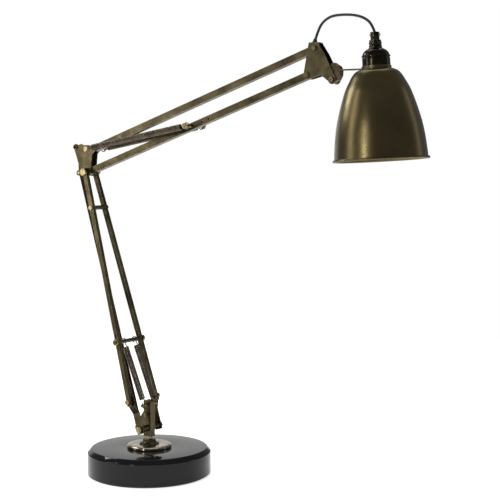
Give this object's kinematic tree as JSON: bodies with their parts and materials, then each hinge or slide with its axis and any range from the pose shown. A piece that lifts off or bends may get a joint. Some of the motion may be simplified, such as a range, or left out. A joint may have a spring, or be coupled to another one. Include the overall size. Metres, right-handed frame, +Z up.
{
  "type": "swing arm desk lamp",
  "caption": "Desk lamp with a bell shade on two jointed, spring-balanced parallel arms that swivel on a heavy round marble base.",
  "frame": {"origin": "centre of the round base's underside", "axes": "+Z up, with the arms in the XZ plane and the shade reaching towards +X; -Y is the side seen in the picture"},
  "size_m": [0.6508, 0.2, 0.724],
  "materials": {
    "aged_brass": "satin, aged",
    "shade_brass": "semi-gloss, aged",
    "bright_brass": "polished",
    "plain_steel": "brushed",
    "bush_bronze": "machined",
    "spring_metal": "drawn wire",
    "black_marble": "polished",
    "felt": "felt",
    "holder_bronze": "satin",
    "insulator": "unglazed",
    "flex_black": "satin",
    "grommet_rubber": "matte",
    "bulb_glass": "frosted",
    "bulb_metal": "bright"
  },
  "bodies": {
    "base": {"base_marble": "black_marble", "base_felt": "felt", "base_disc": "aged_brass", "swivel_collar": "aged_brass", "spindle_bush": "bush_bronze", "inlet_bush": "bush_bronze"},
    "swivel": {"spindle": "plain_steel", "spindle_nut": "plain_steel", "post": "aged_brass", "link_cheeks": "aged_brass", "post_screws": "bright_brass", "arm_pivot_pin": "bright_brass", "arm_pivot_spacers": "aged_brass", "arm_pivot_nuts": "bright_brass", "post_spring_pin": "bright_brass", "link_foot_pin": "bright_brass"},
    "lower_arm": {"leg_near": "aged_brass", "leg_far": "aged_brass", "foot_strap_near": "aged_brass", "foot_strap_far": "aged_brass", "foot_bolts": "bright_brass", "cross_rod": "aged_brass", "cross_rod_nuts": "bright_brass", "leg_spacer": "aged_brass", "leg_spacer_bolt": "bright_brass", "elbow_bolt": "bright_brass", "elbow_washers": "aged_brass"},
    "link": {"parallel_link": "aged_brass"},
    "elbow": {"elbow_plate_near": "aged_brass", "elbow_plate_far": "aged_brass", "elbow_guide_tube": "aged_brass", "link_top_rivet": "bright_brass", "elbow_screw": "bright_brass", "upper_pivot_pin": "bright_brass"},
    "upper_arm": {"lower_bar": "aged_brass", "bar_spring_pin": "bright_brass"},
    "upper_bar": {"upper_bar": "aged_brass", "bar_wiring": "flex_black"},
    "head": {"head_plate_near": "aged_brass", "head_plate_far": "aged_brass", "head_bolts": "bright_brass", "head_bridge": "aged_brass", "flex_grommet": "grommet_rubber", "head_flex": "flex_black"},
    "shade": {"knuckle": "aged_brass", "shade_stem": "aged_brass", "shade": "shade_brass", "lampholder_body": "holder_bronze", "lampholder_cap": "holder_bronze", "lampholder_insert": "insulator", "shade_ring_nut": "aged_brass", "bulb_cap": "bulb_metal", "bulb_glass": "bulb_glass", "cord_grip": "holder_bronze", "grip_screws": "plain_steel"},
    "switch": {"switch_lever": "holder_bronze"},
    "lower_springs": {"lower_springs": "spring_metal"},
    "lower_spring_tails": {"lower_spring_tails": "spring_metal"},
    "upper_springs": {"upper_springs": "spring_metal"},
    "upper_spring_tails": {"upper_spring_tails": "spring_metal"}
  },
  "joints": [
    {"name": "base_swivel", "type": "hinge", "parent": "base", "child": "swivel", "pos_m": [0, 0, 0.054], "axis": [0, 0, 1], "range_deg": [-170, 170]},
    {"name": "lower_arm_tilt", "type": "hinge", "parent": "swivel", "child": "lower_arm", "pos_m": [0, 0, 0.0756], "axis": [0, 1, 0], "range_deg": [-30, 18]},
    {"name": "elbow_level", "type": "hinge", "parent": "lower_arm", "child": "elbow", "pos_m": [-0.124, 0, 0.49], "axis": [0, 1, 0], "range_deg": [-18, 30]},
    {"name": "link_foot", "type": "hinge", "parent": "swivel", "child": "link", "pos_m": [-0.0195, 0, 0.0736], "axis": [0, 1, 0], "range_deg": [-30, 18]},
    {"name": "upper_arm_tilt", "type": "hinge", "parent": "elbow", "child": "upper_arm", "pos_m": [-0.124, 0, 0.49], "axis": [0, 1, 0], "range_deg": [-28, 28]},
    {"name": "upper_bar_foot", "type": "hinge", "parent": "elbow", "child": "upper_bar", "pos_m": [-0.112, 0, 0.5285], "axis": [0, 1, 0], "range_deg": [-28, 28]},
    {"name": "head_level", "type": "hinge", "parent": "upper_arm", "child": "head", "pos_m": [0.3053, 0, 0.6368], "axis": [0, 1, 0], "range_deg": [-28, 28]},
    {"name": "shade_tilt", "type": "hinge", "parent": "head", "child": "shade", "pos_m": [0.3478, 0, 0.6285], "axis": [0, 1, 0], "range_deg": [-45, 50], "deforming": ["head_flex"]},
    {"name": "switch_tilt", "type": "hinge", "parent": "shade", "child": "switch", "pos_m": [0.41934, -0.0086, 0.68621], "axis": [0, 1, 0], "range_deg": [-12, 12]},
    {"name": "lower_spring_swing", "type": "hinge", "parent": "lower_arm", "child": "lower_springs", "pos_m": [-0.04171, 0, 0.215], "axis": [0, 1, 0], "range_deg": [-8.51, 5.1], "deforming": ["lower_springs"]},
    {"name": "lower_spring_stretch", "type": "slide", "parent": "lower_springs", "child": "lower_spring_tails", "axis": [0.3895, 0, -0.921], "range_m": [-0.00618, 0.01031], "deforming": ["lower_spring_tails"]},
    {"name": "upper_spring_swing", "type": "hinge", "parent": "upper_arm", "child": "upper_springs", "pos_m": [0.09174, 0, 0.56377], "axis": [0, 1, 0], "range_deg": [-2.57, 2.57], "deforming": ["upper_springs"]},
    {"name": "upper_spring_stretch", "type": "slide", "parent": "upper_springs", "child": "upper_spring_tails", "axis": [-0.9853, 0, -0.1706], "range_m": [-0.01685, 0.01685], "deforming": ["upper_spring_tails"]}
  ],
  "couplings": [
    {"joint": "elbow_level", "follows": "lower_arm_tilt", "ratio": -1},
    {"joint": "link_foot", "follows": "lower_arm_tilt", "ratio": 1},
    {"joint": "lower_spring_swing", "follows": "lower_arm_tilt", "ratio": 0.278},
    {"joint": "lower_spring_stretch", "follows": "lower_arm_tilt", "m_per_rad": -0.0193},
    {"joint": "upper_bar_foot", "follows": "upper_arm_tilt", "ratio": 1},
    {"joint": "head_level", "follows": "upper_arm_tilt", "ratio": -1},
    {"joint": "upper_spring_swing", "follows": "upper_arm_tilt", "ratio": 0.09},
    {"joint": "upper_spring_stretch", "follows": "upper_arm_tilt", "m_per_rad": 0.0338}
  ]
}
